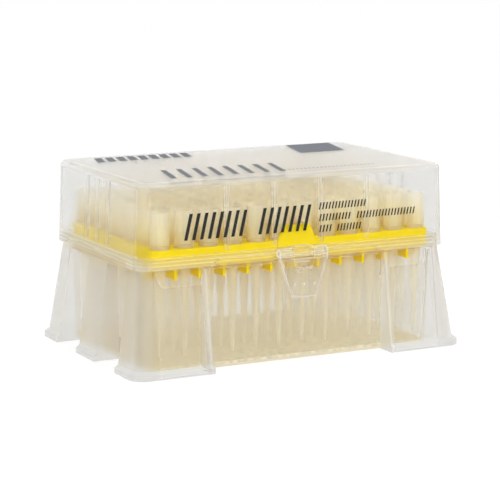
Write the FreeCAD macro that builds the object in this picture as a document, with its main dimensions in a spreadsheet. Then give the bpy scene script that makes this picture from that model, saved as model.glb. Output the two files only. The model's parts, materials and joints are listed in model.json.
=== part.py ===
"""Box of filtered pipette tips: a footed base, a hinged lid with a snap latch, and a tray of 96 tips.

Frame: millimetres, +Z up, X along the long side, Y from the front (latch) to the back (hinge).
The origin is the middle of the footprint on the surface that the feet stand on.
"""
import FreeCAD, Part
import math
import os
import Sketcher
from FreeCAD import Placement, Rotation, Vector

SHEET = "sizes"

# alias, millimetres or count, what it is
DRIVING = [
    ("footprint_length", 127.76, "plate-format footprint along X"),
    ("footprint_width", 85.48, "plate-format footprint along Y"),
    ("pitch", 9.0, "distance between neighbouring tips"),
    ("columns", 12, "tips along X"),
    ("rows", 8, "tips along Y"),
    ("parting_height", 35.7, "height of the lid's lowest edge"),
    ("lid_length", 119.0, "lid along X at its lower edge"),
    ("lid_width", 75.6, "lid along Y at its lower edge"),
    ("lid_height", 28.8, "lid from its lowest edge to its top"),
    ("lid_wall", 0.9, "wall of the lid"),
    ("lid_roof", 1.3, "top panel of the lid"),
    ("lid_draft", 1.0, "how far each lid wall leans in over its height"),
    ("lid_corner", 6.0, "plan radius of the lid's corners"),
    ("lid_edge_round", 1.7, "round between the lid's walls and top"),
    ("lid_fit", 0.6, "clearance between the lid and the rim inside it"),
    ("lid_rib_width", 2.0, "ribs inside the lid's long and short walls"),
    ("lid_rib_depth", 0.5, "how far those ribs stand in"),
    ("lid_rib_start", 5.0, "lowest end of a rib above the lid's lowest edge"),
    ("rim_wall", 1.0, "wall of the rim that stands up inside the lid"),
    ("rim_rise", 3.4, "rim above the lid's lowest edge"),
    ("shoulder", 1.0, "plate between the rim and the tub"),
    ("band_rise", 2.3, "step up of the lid's edge above the bands"),
    ("band_gap", 0.3, "gap between a band and the lid's edge above it"),
    ("front_band_reach", 32.4, "half length of the raised edge at front and back"),
    ("side_band_reach", 27.0, "half length of the raised edge at the ends"),
    ("band_slant", 2.0, "how far a band's end leans over its height"),
    ("latch_bay", 10.0, "half width of the gap in the front band"),
    ("back_band_reach", 20.0, "half length of the back band between the hinges"),
    ("foot_wall", 1.3, "skin of the hollow feet"),
    ("flange_reach", 1.0, "how far the foot flange stands out"),
    ("flange_height", 1.8, "straight edge of the foot flange"),
    ("flange_slope", 1.1, "height of the slope above the flange"),
    ("foot_corner", 6.0, "plan radius of the base's corners"),
    ("front_foot_start", 34.3, "where the corner feet start, from the middle, along X"),
    ("side_foot_start", 26.0, "where the corner feet start, from the middle, along Y"),
    ("middle_foot_reach", 8.0, "half width of the middle foot at each end"),
    ("tub_wall", 1.2, "wall of the tub that holds the tips"),
    ("tub_floor", 1.6, "floor of the tub"),
    ("tub_foot_length", 108.4, "tub along X at its floor"),
    ("tub_foot_width", 69.0, "tub along Y at its floor"),
    ("tub_mouth_clearance", 0.2, "between the tray's ribs and the tub's mouth"),
    ("tray_length", 107.7, "tray along X"),
    ("tray_fit", 0.3, "clearance between the tray and the rim"),
    ("tray_corner", 3.0, "plan radius of the tray's corners"),
    ("tray_deck", 1.2, "deck that the tips hang from"),
    ("tray_skirt", 0.8, "wall round the tray's edge"),
    ("tray_rise", 6.1, "top of the deck above the shoulder"),
    ("tray_rib", 1.0, "ribs under the deck"),
    ("tray_rib_drop", 4.4, "how far the ribs reach below the shoulder"),
    ("tray_rib_inset", 0.6, "how far the ribs end short of the tray's edge"),
    ("tray_hole", 5.6, "diameter of a tip hole"),
    ("tab_reach", 7.2, "half width of the lifting tab at its foot"),
    ("tab_top_reach", 5.0, "half width of the lifting tab at its top"),
    ("tab_rise", 5.3, "lifting tab above the deck"),
    ("tab_foot_drop", 2.2, "lifting tab below the deck's top"),
    ("tab_thickness", 0.85, "thickness of the lifting tab"),
    ("tab_offset", 0.85, "how far the tab's outer face stands out of the tray"),
    ("tip_head_height", 12.4, "tip above the deck"),
    ("tip_drop", 37.3, "tip below the deck"),
    ("tip_collar", 6.9, "collar that rests on the deck"),
    ("tip_collar_height", 1.4, "height of that collar"),
    ("tip_mouth", 6.2, "outside of the tip's mouth"),
    ("tip_neck", 5.2, "outside of the tip just under the deck"),
    ("tip_waist", 2.7, "outside of the tip where it turns slender"),
    ("tip_waist_drop", 20.5, "that place below the deck"),
    ("tip_point", 1.0, "outside of the tip's point"),
    ("tip_orifice", 0.5, "hole in the tip's point"),
    ("tip_wall", 0.55, "wall of the tip"),
    ("filter_length", 4.5, "length of a filter"),
    ("filter_depth", 6.5, "top of a filter below the tip's mouth"),
    ("filter_fit", 0.05, "clearance round a filter"),
    ("hinge_offset", 2.7, "hinge axis behind the lid's back wall"),
    ("hinge_rise", 1.5, "hinge axis above the lid's lowest edge"),
    ("hinge_spread", 25.0, "hinge clips from the middle"),
    ("hinge_pin", 2.0, "diameter of the hinge pin"),
    ("hinge_fit", 0.05, "clearance round the hinge pin"),
    ("clip_outer", 4.4, "outside of a hinge clip"),
    ("clip_width", 7.0, "width of a hinge clip"),
    ("clip_mouth", 1.6, "mouth that the clip snaps over the pin with"),
    ("clip_side_gap", 0.3, "gap between a clip and its ears"),
    ("clip_heel_rise", 2.75, "top of the clip's stop above the axis"),
    ("clip_heel_offset", 1.0, "middle of the clip's stop behind the axis"),
    ("clip_heel_width", 1.4, "thickness of the clip's stop"),
    ("ear_thickness", 1.4, "thickness of a hinge ear"),
    ("ear_round", 1.7, "radius of an ear round the pin"),
    ("ear_web", 1.5, "web between two ears"),
    ("latch_offset", 2.1, "latch axis in front of the lid's front wall"),
    ("latch_rise", 2.6, "latch axis above the lid's lowest edge"),
    ("latch_pin", 1.5, "diameter of the latch pin"),
    ("latch_fit", 0.05, "clearance round the latch pin"),
    ("latch_barrel", 3.0, "outside of the latch's barrels"),
    ("latch_width", 18.4, "latch at its top"),
    ("latch_tip_width", 9.0, "latch at its lower end"),
    ("latch_drop", 15.4, "latch below its axis"),
    ("latch_straight", 2.3, "straight part of the latch's sides"),
    ("latch_plate", 1.2, "thickness of the latch"),
    ("latch_corner", 1.2, "round of the latch's lower corners"),
    ("latch_end_wall", 0.6, "barrel beyond the end of the pin"),
    ("boss_width", 7.8, "boss that carries the latch pin"),
    ("boss_top", 2.1, "boss above the latch axis"),
    ("boss_bottom", 1.2, "boss below the latch axis"),
    ("boss_front", 1.4, "boss in front of the latch axis"),
    ("boss_gap", 0.3, "gap between the boss and the latch"),
    ("notch_drop", 2.2, "lower edge of the latch's notch below its axis"),
    ("latch_pad", 3.0, "height of the raised pad under the boss"),
    ("latch_pad_rise", 0.4, "how far that pad stands out"),
    ("catch_width", 7.6, "catch on the base"),
    ("catch_height", 1.8, "height of the catch"),
    ("catch_drop", 3.8, "top of the catch below the latch axis"),
    ("catch_tip", 0.5, "catch ends this far behind the latch axis"),
    ("hook_height", 1.2, "height of the latch's hook"),
    ("hook_width", 7.0, "width of the latch's hook"),
    ("hook_reach", 0.5, "how far the hook stands in from the latch"),
    ("hook_gap", 0.3, "gap between the hook and the catch"),
    ("window_skin", 0.1, "skin left behind a window"),
    ("window_rise", 0.1, "windows above the hook"),
    ("window_width", 2.9, "windows in the latch above its hook"),
    ("window_height", 0.7, "height of those windows"),
    ("window_spread", 1.9, "middle of each window from the middle"),
    ("grip_radius", 0.65, "radius of the grip studs"),
    ("grip_spread", 3.9, "distance between grip studs"),
    ("grip_drop", 10.9, "grip studs below the latch axis"),
]


class Size:
    """A length that carries its number and the spreadsheet expression that gives it."""

    def __init__(self, value, text):
        self.value = value
        self.text = text

    @staticmethod
    def of(other):
        return other if isinstance(other, Size) else Size(float(other), repr(float(other)))

    def join(self, other, sign, value):
        return Size(value, "(%s %s %s)" % (self.text, sign, other.text))

    def __add__(self, other):
        other = Size.of(other)
        return self.join(other, "+", self.value + other.value)

    def __sub__(self, other):
        other = Size.of(other)
        return self.join(other, "-", self.value - other.value)

    def __mul__(self, other):
        other = Size.of(other)
        return self.join(other, "*", self.value * other.value)

    def __truediv__(self, other):
        other = Size.of(other)
        return self.join(other, "/", self.value / other.value)

    def __neg__(self):
        return Size(-self.value, "(-%s)" % self.text)


class Sizes:
    """The driving dimensions as attributes, each bound to its spreadsheet cell."""

    def __init__(self, sheet):
        for row, (alias, value, note) in enumerate(DRIVING, start=1):
            sheet.set("A%d" % row, note)
            sheet.set("B%d" % row, str(value))
            sheet.setAlias("B%d" % row, alias)
            setattr(self, alias, Size(float(value), "%s.%s" % (SHEET, alias)))


doc = FreeCAD.newDocument("pipette_tip_box")
sheet = doc.addObject("Spreadsheet::Sheet", SHEET)
s = Sizes(sheet)
doc.recompute()


# ---------------------------------------------------------------- derived places and sizes

ZERO = Size(0.0, "0")

lid_half_x = s.lid_length / 2
lid_half_y = s.lid_width / 2
lid_top = s.parting_height + s.lid_height
lid_inner_x = lid_half_x - s.lid_wall
lid_inner_y = lid_half_y - s.lid_wall
lid_inner_corner = s.lid_corner - s.lid_wall
band_edge = s.parting_height + s.band_rise
band_top = band_edge - s.band_gap

rim_x = lid_inner_x - s.lid_fit
rim_y = lid_inner_y - s.lid_fit
rim_corner = lid_inner_corner - s.lid_fit
rim_top = s.parting_height + s.rim_rise
shoulder_bottom = s.parting_height - s.shoulder

foot_x = s.footprint_length / 2 - s.flange_reach
foot_y = s.footprint_width / 2 - s.flange_reach

tray_x = s.tray_length / 2
tray_y = rim_y - s.rim_wall - s.tray_fit
rib_x = tray_x - s.tray_rib_inset
rib_y = tray_y - s.tray_rib_inset
deck_top = s.parting_height + s.tray_rise
deck_bottom = deck_top - s.tray_deck
rib_bottom = s.parting_height - s.tray_rib_drop
tub_mouth_x = rib_x + s.tub_mouth_clearance
tub_mouth_y = rim_y - s.rim_wall - s.tub_mouth_clearance
tub_foot_x = s.tub_foot_length / 2
tub_foot_y = s.tub_foot_width / 2

hinge_y = lid_half_y + s.hinge_offset
hinge_z = s.parting_height + s.hinge_rise
clip_half = s.clip_width / 2
ear_inner = clip_half + s.clip_side_gap
ear_outer = ear_inner + s.ear_thickness
clip_bore = s.hinge_pin / 2 + s.hinge_fit

latch_y = lid_half_y + s.latch_offset
latch_z = s.parting_height + s.latch_rise
latch_front = latch_y + s.latch_barrel / 2
latch_back = latch_front - s.latch_plate
catch_bottom = latch_z - s.catch_drop - s.catch_height
hook_top = catch_bottom - s.hook_gap


# ---------------------------------------------------------------- drawing helpers

def new_body(label):
    """A PartDesign body that becomes one node."""
    body = doc.addObject("PartDesign::Body", label)
    body.Label = label
    return body


def plane_of(body, role):
    for feature in body.Origin.OriginFeatures:
        if feature.Role == role:
            return feature
    raise RuntimeError("no plane " + role)


def sketch_on(body, name, role, offset=ZERO):
    """A sketch on one of the body's origin planes, moved along the plane's normal."""
    sketch = body.newObject("Sketcher::SketchObject", name)
    sketch.AttachmentSupport = (plane_of(body, role), [""])
    sketch.MapMode = "FlatFace"
    sketch.AttachmentOffset = Placement(Vector(0, 0, offset.value), Rotation())
    sketch.setExpression("AttachmentOffset.Base.z", offset.text)
    return sketch


def pin_point(sketch, geometry, end, x, y):
    """Fixes one point of a sketch at (x, y), measured from the sketch's origin."""
    for kind, size in (("DistanceX", x), ("DistanceY", y)):
        if abs(size.value) < 1e-9:
            other = -2 if kind == "DistanceX" else -1
            sketch.addConstraint(Sketcher.Constraint("PointOnObject", geometry, end, other))
            continue
        if size.value > 0:
            constraint = Sketcher.Constraint(kind, -1, 1, geometry, end, size.value)
            text = size.text
        else:
            constraint = Sketcher.Constraint(kind, geometry, end, -1, 1, -size.value)
            text = (-size).text
        index = sketch.addConstraint(constraint)
        sketch.setExpression("Constraints[%d]" % index, text)


def toward(start, end, radius):
    """The point that lies a radius away from start on the way to end, along X or Y."""
    (ax, ay), (bx, by) = start, end
    if abs(bx.value - ax.value) > abs(by.value - ay.value):
        return (ax + radius, ay) if bx.value > ax.value else (ax - radius, ay)
    return (ax, ay + radius) if by.value > ay.value else (ax, ay - radius)


def outline(sketch, corners):
    """Closes a loop through the corners (x, y, radius or None).

    A rounded corner lies between an edge along X and an edge along Y.
    """
    count = len(corners)
    legs = []
    for index, (x, y, radius) in enumerate(corners):
        before = corners[index - 1][:2]
        after = corners[(index + 1) % count][:2]
        if radius is None:
            legs.append(((x, y), (x, y), None))
            continue
        entry = toward((x, y), before, radius)
        leave = toward((x, y), after, radius)
        centre = (entry[0], leave[1]) if entry[1] is y else (leave[0], entry[1])
        legs.append((entry, leave, centre))
    lines = []
    for index in range(count):
        start = legs[index][1]
        end = legs[(index + 1) % count][0]
        line = Part.LineSegment(Vector(start[0].value, start[1].value, 0),
                                Vector(end[0].value, end[1].value, 0))
        lines.append(sketch.addGeometry(line, False))
    for index, (entry, leave, centre) in enumerate(legs):
        incoming, outgoing = lines[index - 1], lines[index]
        pin_point(sketch, incoming, 2, *entry)
        if centre is None:
            sketch.addConstraint(Sketcher.Constraint("Coincident", incoming, 2, outgoing, 1))
            continue
        pin_point(sketch, outgoing, 1, *leave)
        arc, first, last = corner_arc(entry, leave, centre)
        number = sketch.addGeometry(arc, False)
        sketch.addConstraint(Sketcher.Constraint("Coincident", incoming, 2, number, first))
        sketch.addConstraint(Sketcher.Constraint("Coincident", outgoing, 1, number, last))
        index_x = sketch.addConstraint(signed_distance("DistanceX", number, centre[0].value))
        sketch.setExpression("Constraints[%d]" % index_x, magnitude(centre[0]))


def magnitude(size):
    return size.text if size.value >= 0 else (-size).text


def signed_distance(kind, geometry, value):
    """The distance from the origin to a curve's centre point."""
    if value >= 0:
        return Sketcher.Constraint(kind, -1, 1, geometry, 3, value)
    return Sketcher.Constraint(kind, geometry, 3, -1, 1, -value)


def corner_arc(entry, leave, centre):
    """The quarter arc of a rounded corner, and which of its ends meets each leg."""
    cx, cy = centre[0].value, centre[1].value
    start = math.atan2(entry[1].value - cy, entry[0].value - cx)
    end = math.atan2(leave[1].value - cy, leave[0].value - cx)
    radius = math.hypot(entry[0].value - cx, entry[1].value - cy)
    circle = Part.Circle(Vector(cx, cy, 0), Vector(0, 0, 1), radius)
    if (end - start) % (2 * math.pi) < math.pi:
        return Part.ArcOfCircle(circle, start, end), 1, 2
    return Part.ArcOfCircle(circle, end, start), 2, 1


def circle(sketch, x, y, radius):
    number = sketch.addGeometry(
        Part.Circle(Vector(x.value, y.value, 0), Vector(0, 0, 1), radius.value), False)
    pin_point(sketch, number, 3, x, y)
    index = sketch.addConstraint(Sketcher.Constraint("Radius", number, radius.value))
    sketch.setExpression("Constraints[%d]" % index, radius.text)


def rounded(half_x, half_y, radius):
    """Corners of a rectangle about the origin."""
    return [(-half_x, -half_y, radius), (half_x, -half_y, radius),
            (half_x, half_y, radius), (-half_x, half_y, radius)]


def rectangle(x0, x1, y0, y1):
    return [(x0, y0, None), (x1, y0, None), (x1, y1, None), (x0, y1, None)]


def extrude(body, kind, name, sketch, length, symmetric=False, reverse=False):
    """A Pad or a Pocket of the sketch."""
    feature = body.newObject("PartDesign::" + kind, name)
    feature.Profile = sketch
    feature.Type = "Length"
    feature.Length = length.value
    feature.setExpression("Length", length.text)
    if symmetric:
        feature.SideType = "Symmetric"
    feature.Reversed = reverse
    sketch.Visibility = False
    return feature


def box(body, kind, name, x0, x1, y0, y1, z0, z1):
    """A plain block between two corners, added (Pad) or cut (Pocket)."""
    sketch = sketch_on(body, name + "_outline", "XY_Plane", z0)
    outline(sketch, rectangle(x0, x1, y0, y1))
    return extrude(body, kind, name, sketch, z1 - z0, reverse=(kind == "Pocket"))


def loft(body, kind, name, sections):
    """A ruled loft through outlines at rising heights: kind is Additive or Subtractive."""
    sketches = []
    for number, (height, corners) in enumerate(sections):
        sketch = sketch_on(body, "%s_section_%d" % (name, number), "XY_Plane", height)
        outline(sketch, corners)
        sketches.append(sketch)
    feature = body.newObject("PartDesign::%sLoft" % kind, name)
    feature.Profile = sketches[0]
    feature.Sections = sketches[1:]
    feature.Ruled = True
    return feature


def fillet(body, name, feature, chosen, radius):
    """Rounds the edges of the feature that the test picks."""
    doc.recompute()
    edges = ["Edge%d" % (index + 1) for index, edge in enumerate(feature.Shape.Edges)
             if chosen(edge)]
    if not edges:
        raise RuntimeError("no edge to round for " + name)
    rounding = body.newObject("PartDesign::Fillet", name)
    rounding.Base = (feature, edges)
    rounding.Radius = radius.value
    rounding.setExpression("Radius", radius.text)
    return rounding


def flat_at(height):
    """A test for edges that lie wholly at one height."""
    def test(edge):
        bounds = edge.BoundBox
        return abs(bounds.ZMin - height.value) < 1e-4 and abs(bounds.ZMax - height.value) < 1e-4
    return test


def linear_pattern(body, name, original, axis, length, occurrences):
    pattern = body.newObject("PartDesign::LinearPattern", name)
    pattern.Originals = [original]
    pattern.Direction = (plane_of(body, axis), [""])
    pattern.Length = length.value
    pattern.setExpression("Length", length.text)
    pattern.Occurrences = int(round(occurrences.value))
    pattern.setExpression("Occurrences", occurrences.text)
    body.Tip = pattern
    return pattern


# ---------------------------------------------------------------- base

def footed_outline(reach_x, reach_y, inset, corner):
    """The base seen from below: four corner feet, a middle foot at each end, recesses between.

    The recesses end inside the tub's wall, which closes them. Inset draws the whole line in.
    """
    start_x = s.front_foot_start + inset
    start_y = s.side_foot_start + inset
    middle = s.middle_foot_reach - inset
    wall_x = tub_foot_x - s.tub_wall / 2 - inset
    wall_y = tub_foot_y - s.tub_wall / 2 - inset
    quadrant = [(start_x, wall_y, None), (start_x, reach_y, None), (reach_x, reach_y, corner),
                (reach_x, start_y, None), (wall_x, start_y, None), (wall_x, middle, None),
                (reach_x, middle, None)]
    corners = []
    for sign_x, sign_y in ((1, -1), (1, 1), (-1, 1), (-1, -1)):
        points = quadrant if sign_x * sign_y < 0 else reversed(quadrant)
        for x, y, radius in points:
            corners.append((x if sign_x > 0 else -x, y if sign_y > 0 else -y, radius))
    return corners


def band_profile(reach, slant, bottom, top):
    """A trapezium that is narrower at its top, as (across, up) corners."""
    return [(-reach, bottom, None), (reach, bottom, None),
            (reach - slant, top, None), (-reach + slant, top, None)]


def make_base():
    """Tub, hollow feet, shoulder, rim, bands, catch and hinge ears, moulded in one."""
    body = new_body("base")
    flange_x = s.footprint_length / 2
    flange_y = s.footprint_width / 2
    slope_top = s.flange_height + s.flange_slope

    loft(body, "Additive", "feet",
         [(ZERO, footed_outline(foot_x, foot_y, ZERO, s.foot_corner)),
          (s.parting_height, footed_outline(rim_x, rim_y, ZERO, rim_corner))])
    run = slope_top / s.parting_height
    slope_x = foot_x - (foot_x - rim_x) * run
    slope_y = foot_y - (foot_y - rim_y) * run
    loft(body, "Additive", "flange",
         [(ZERO, footed_outline(flange_x, flange_y, ZERO, s.foot_corner)),
          (s.flange_height, footed_outline(flange_x, flange_y, ZERO, s.foot_corner)),
          (slope_top, footed_outline(slope_x, slope_y, ZERO, s.foot_corner))])
    hollow = shoulder_bottom / s.parting_height
    roof_x = foot_x - (foot_x - rim_x) * hollow - s.foot_wall
    roof_y = foot_y - (foot_y - rim_y) * hollow - s.foot_wall
    loft(body, "Subtractive", "feet_hollow",
         [(ZERO, footed_outline(foot_x - s.foot_wall, foot_y - s.foot_wall, s.foot_wall,
                                s.foot_corner - s.foot_wall)),
          (shoulder_bottom, footed_outline(roof_x, roof_y, s.foot_wall,
                                           rim_corner - s.foot_wall))])

    rim_sketch = sketch_on(body, "rim_outline", "XY_Plane", shoulder_bottom)
    outline(rim_sketch, rounded(rim_x, rim_y, rim_corner))
    extrude(body, "Pad", "rim", rim_sketch, rim_top - shoulder_bottom)

    front = sketch_on(body, "front_band_outline", "XZ_Plane", lid_half_y)
    for side in (-1, 1):
        bay, low, high = s.latch_bay, s.front_band_reach, s.front_band_reach - s.band_slant
        profile = [(bay, shoulder_bottom, None), (low, shoulder_bottom, None),
                   (high, band_top, None), (bay, band_top, None)]
        outline(front, [(x if side > 0 else -x, z, None) for x, z, _ in profile])
    extrude(body, "Pad", "front_band", front, lid_half_y, reverse=True)
    back = sketch_on(body, "back_band_outline", "XZ_Plane", -lid_half_y)
    outline(back, band_profile(s.back_band_reach, s.band_slant, shoulder_bottom, band_top))
    extrude(body, "Pad", "back_band", back, lid_half_y)
    ends = sketch_on(body, "end_band_outline", "YZ_Plane")
    outline(ends, band_profile(s.side_band_reach, s.band_slant, shoulder_bottom, band_top))
    extrude(body, "Pad", "end_bands", ends, s.lid_length, symmetric=True)

    box(body, "Pad", "catch", -(s.catch_width / 2), s.catch_width / 2,
        -(latch_y - s.catch_tip), ZERO, catch_bottom, catch_bottom + s.catch_height)
    make_hinge_ears(body)

    mouth_outer_x = tub_mouth_x + s.tub_wall
    loft(body, "Additive", "tub",
         [(ZERO, rounded(tub_foot_x, tub_foot_y, rim_corner)),
          (s.parting_height, rounded(mouth_outer_x, rim_y, rim_corner))])
    loft(body, "Subtractive", "tub_hollow",
         [(s.tub_floor, rounded(tub_foot_x - s.tub_wall, tub_foot_y - s.tub_wall,
                                rim_corner - s.tub_wall)),
          (s.parting_height, rounded(tub_mouth_x, tub_mouth_y, rim_corner - s.tub_wall))])
    well = sketch_on(body, "rim_hollow_outline", "XY_Plane", s.parting_height)
    outline(well, rounded(rim_x - s.rim_wall, rim_y - s.rim_wall, rim_corner - s.rim_wall))
    extrude(body, "Pocket", "rim_hollow", well, s.rim_rise, reverse=True)
    return body


def make_hinge_ears(body):
    """At each hinge: two ears joined by a web, with the pin moulded between them."""
    web_top = hinge_z - s.clip_outer / 2 - s.clip_side_gap
    for number, side in enumerate((-1, 1), start=1):
        middle = s.hinge_spread if side > 0 else -s.hinge_spread
        for face in (-1, 1):
            inner = middle + ear_inner if face > 0 else middle - ear_inner - s.ear_thickness
            tag = "%d%s" % (number, "a" if face < 0 else "b")
            arm = sketch_on(body, "ear_arm_outline_" + tag, "YZ_Plane", inner)
            outline(arm, [(ZERO, web_top - s.ear_web, None),
                          (hinge_y + s.ear_round, web_top - s.ear_web, None),
                          (hinge_y + s.ear_round, hinge_z, None),
                          (hinge_y - s.ear_round, hinge_z, None),
                          (hinge_y - s.ear_round, band_top, None), (ZERO, band_top, None)])
            extrude(body, "Pad", "ear_arm_" + tag, arm, s.ear_thickness)
            end = sketch_on(body, "ear_end_outline_" + tag, "YZ_Plane", inner)
            circle(end, hinge_y, hinge_z, s.ear_round)
            extrude(body, "Pad", "ear_end_" + tag, end, s.ear_thickness)
        box(body, "Pad", "ear_web_%d" % number, middle - ear_outer, middle + ear_outer,
            ZERO, hinge_y + s.ear_round, web_top - s.ear_web, web_top)
        pin = sketch_on(body, "hinge_pin_outline_%d" % number, "YZ_Plane", middle)
        circle(pin, hinge_y, hinge_z, s.hinge_pin / 2)
        extrude(body, "Pad", "hinge_pin_%d" % number, pin, ear_outer * 2, symmetric=True)


# ---------------------------------------------------------------- lid

def lean_in(feature):
    """Gives a Pad or Pocket of the lid its draft, narrower toward the top."""
    slope = s.lid_draft / s.lid_height
    feature.TaperAngle = -math.degrees(math.atan(slope.value))
    feature.setExpression("TaperAngle", "-atan(%s)" % slope.text)


def make_lid():
    """Lid shell with its ribs, hinge clips and latch boss, moulded in one."""
    body = new_body("lid")
    roof_bottom = lid_top - s.lid_roof
    outside = sketch_on(body, "shell_outline", "XY_Plane", s.parting_height)
    outline(outside, rounded(lid_half_x, lid_half_y, s.lid_corner))
    shell = extrude(body, "Pad", "shell", outside, s.lid_height)
    lean_in(shell)
    fillet(body, "shell_round", shell, flat_at(lid_top), s.lid_edge_round)
    inside = sketch_on(body, "shell_hollow_outline", "XY_Plane", s.parting_height)
    outline(inside, rounded(lid_inner_x, lid_inner_y, lid_inner_corner))
    hollow = extrude(body, "Pocket", "shell_hollow", inside, s.lid_height - s.lid_roof,
                     reverse=True)
    lean_in(hollow)

    long_edge = sketch_on(body, "long_edge_outline", "XZ_Plane")
    outline(long_edge, band_profile(s.front_band_reach, s.band_slant,
                                    s.parting_height, band_edge))
    extrude(body, "Pocket", "long_edge_step", long_edge, s.lid_width, symmetric=True)
    short_edge = sketch_on(body, "short_edge_outline", "YZ_Plane")
    outline(short_edge, band_profile(s.side_band_reach, s.band_slant,
                                     s.parting_height, band_edge))
    extrude(body, "Pocket", "short_edge_step", short_edge, s.lid_length, symmetric=True)

    make_lid_ribs(body, roof_bottom)
    make_hinge_clips(body)
    make_latch_boss(body)
    return body


def make_lid_ribs(body, roof_bottom):
    """Upright ribs midway between tip columns on the long walls, and on the short walls."""
    rib_start = s.parting_height + s.lid_rib_start
    rib_height = roof_bottom + s.lid_roof / 2 - rib_start
    lean = s.lid_draft
    for number, steps in enumerate((-3, -1, 1, 3), start=1):
        middle = s.pitch * steps
        for side in (-1, 1):
            tag = "%d%s" % (number, "f" if side < 0 else "b")
            sketch = sketch_on(body, "long_rib_outline_" + tag, "YZ_Plane",
                               middle - s.lid_rib_width / 2)
            foot = lid_inner_y - s.lid_rib_depth
            skin = lid_inner_y + s.lid_wall / 2
            profile = [(foot, rib_start), (skin, rib_start), (skin - lean, rib_start + rib_height),
                       (foot - lean, rib_start + rib_height)]
            outline(sketch, [(y if side > 0 else -y, z, None) for y, z in profile])
            extrude(body, "Pad", "long_rib_" + tag, sketch, s.lid_rib_width)
    for number, steps in enumerate((-1, 0, 1), start=1):
        middle = s.pitch * steps
        for side in (-1, 1):
            tag = "%d%s" % (number, "l" if side < 0 else "r")
            offset = -(middle + s.lid_rib_width / 2)
            sketch = sketch_on(body, "short_rib_outline_" + tag, "XZ_Plane", offset)
            foot = lid_inner_x - s.lid_rib_depth
            skin = lid_inner_x + s.lid_wall / 2
            profile = [(foot, rib_start), (skin, rib_start), (skin - lean, rib_start + rib_height),
                       (foot - lean, rib_start + rib_height)]
            outline(sketch, [(x if side > 0 else -x, z, None) for x, z in profile])
            extrude(body, "Pad", "short_rib_" + tag, sketch, s.lid_rib_width)


def make_hinge_clips(body):
    """Two clips behind the lid that snap over the base's pins, each with a stop heel."""
    radius = s.clip_outer / 2
    for number, side in enumerate((-1, 1), start=1):
        middle = s.hinge_spread if side > 0 else -s.hinge_spread
        ring = sketch_on(body, "clip_outline_%d" % number, "YZ_Plane", middle)
        circle(ring, hinge_y, hinge_z, radius)
        extrude(body, "Pad", "clip_%d" % number, ring, s.clip_width, symmetric=True)
        arm = sketch_on(body, "clip_arm_outline_%d" % number, "YZ_Plane", middle)
        outline(arm, rectangle(lid_half_y - s.lid_wall / 2, hinge_y, band_edge, hinge_z + radius))
        extrude(body, "Pad", "clip_arm_%d" % number, arm, s.clip_width, symmetric=True)
        heel = sketch_on(body, "clip_heel_outline_%d" % number, "YZ_Plane", middle)
        heel_y = hinge_y + s.clip_heel_offset
        outline(heel, rectangle(heel_y - s.clip_heel_width / 2, heel_y + s.clip_heel_width / 2,
                                hinge_z, hinge_z + s.clip_heel_rise))
        extrude(body, "Pad", "clip_heel_%d" % number, heel, s.clip_width, symmetric=True)
        bore = sketch_on(body, "clip_bore_outline_%d" % number, "YZ_Plane", middle)
        circle(bore, hinge_y, hinge_z, clip_bore)
        extrude(body, "Pocket", "clip_bore_%d" % number, bore, s.clip_width * 2, symmetric=True)
        mouth = sketch_on(body, "clip_mouth_outline_%d" % number, "YZ_Plane", middle)
        outline(mouth, rectangle(hinge_y - s.clip_mouth / 2, hinge_y + s.clip_mouth / 2,
                                 hinge_z - radius * 2, hinge_z))
        extrude(body, "Pocket", "clip_mouth_%d" % number, mouth, s.clip_width * 2, symmetric=True)


def make_latch_boss(body):
    """Round-topped boss on the front wall with a pin stub on each side for the latch."""
    half = s.boss_width / 2
    round_top = s.boss_top / 2
    boss = sketch_on(body, "boss_outline", "XZ_Plane", latch_y + s.boss_front)
    outline(boss, [(-half, latch_z - s.boss_bottom, None), (half, latch_z - s.boss_bottom, None),
                   (half, latch_z + s.boss_top, round_top),
                   (-half, latch_z + s.boss_top, round_top)])
    depth = s.boss_front + s.latch_offset + s.lid_wall / 2
    extrude(body, "Pad", "boss", boss, depth, reverse=True)
    pin = sketch_on(body, "latch_pin_outline", "YZ_Plane")
    circle(pin, -latch_y, latch_z, s.latch_pin / 2)
    extrude(body, "Pad", "latch_pin", pin, s.latch_width - s.latch_end_wall * 2, symmetric=True)


# ---------------------------------------------------------------- latch

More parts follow.
